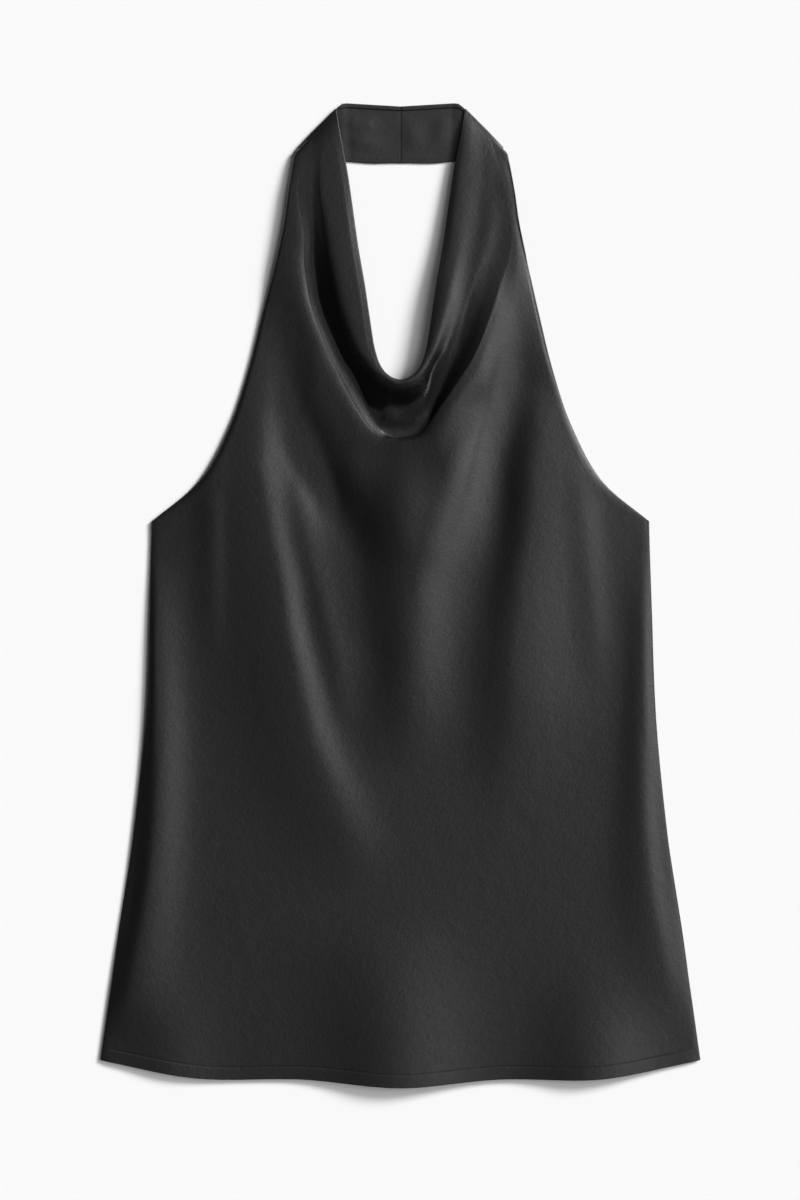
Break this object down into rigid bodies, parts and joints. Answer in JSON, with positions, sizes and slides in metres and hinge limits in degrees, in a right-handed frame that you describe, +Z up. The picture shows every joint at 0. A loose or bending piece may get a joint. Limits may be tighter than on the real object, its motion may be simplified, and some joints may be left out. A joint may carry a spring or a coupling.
{
  "type": "halter neck top",
  "caption": "Satin halter neck top laid flat, with a draped cowl neckline, a back neck band with a centre seam and a slightly flared hem.",
  "frame": {"origin": "centre of the top's outline, on the surface it lies on", "axes": "+Y from the hem to the neck band, +X across the body to the right in the view from above, +Z up from the surface, towards the front of the garment"},
  "size_m": [0.4954, 0.8119, 0.0184],
  "materials": {
    "satin_face": "black satin, shiny side",
    "satin_inside": "black satin, duller inner side"
  },
  "bodies": {
    "root": {"front_panel": "satin_face", "neck_band_left": "satin_inside", "neck_band_right": "satin_inside", "back_panel": "satin_face"}
  },
  "joints": []
}
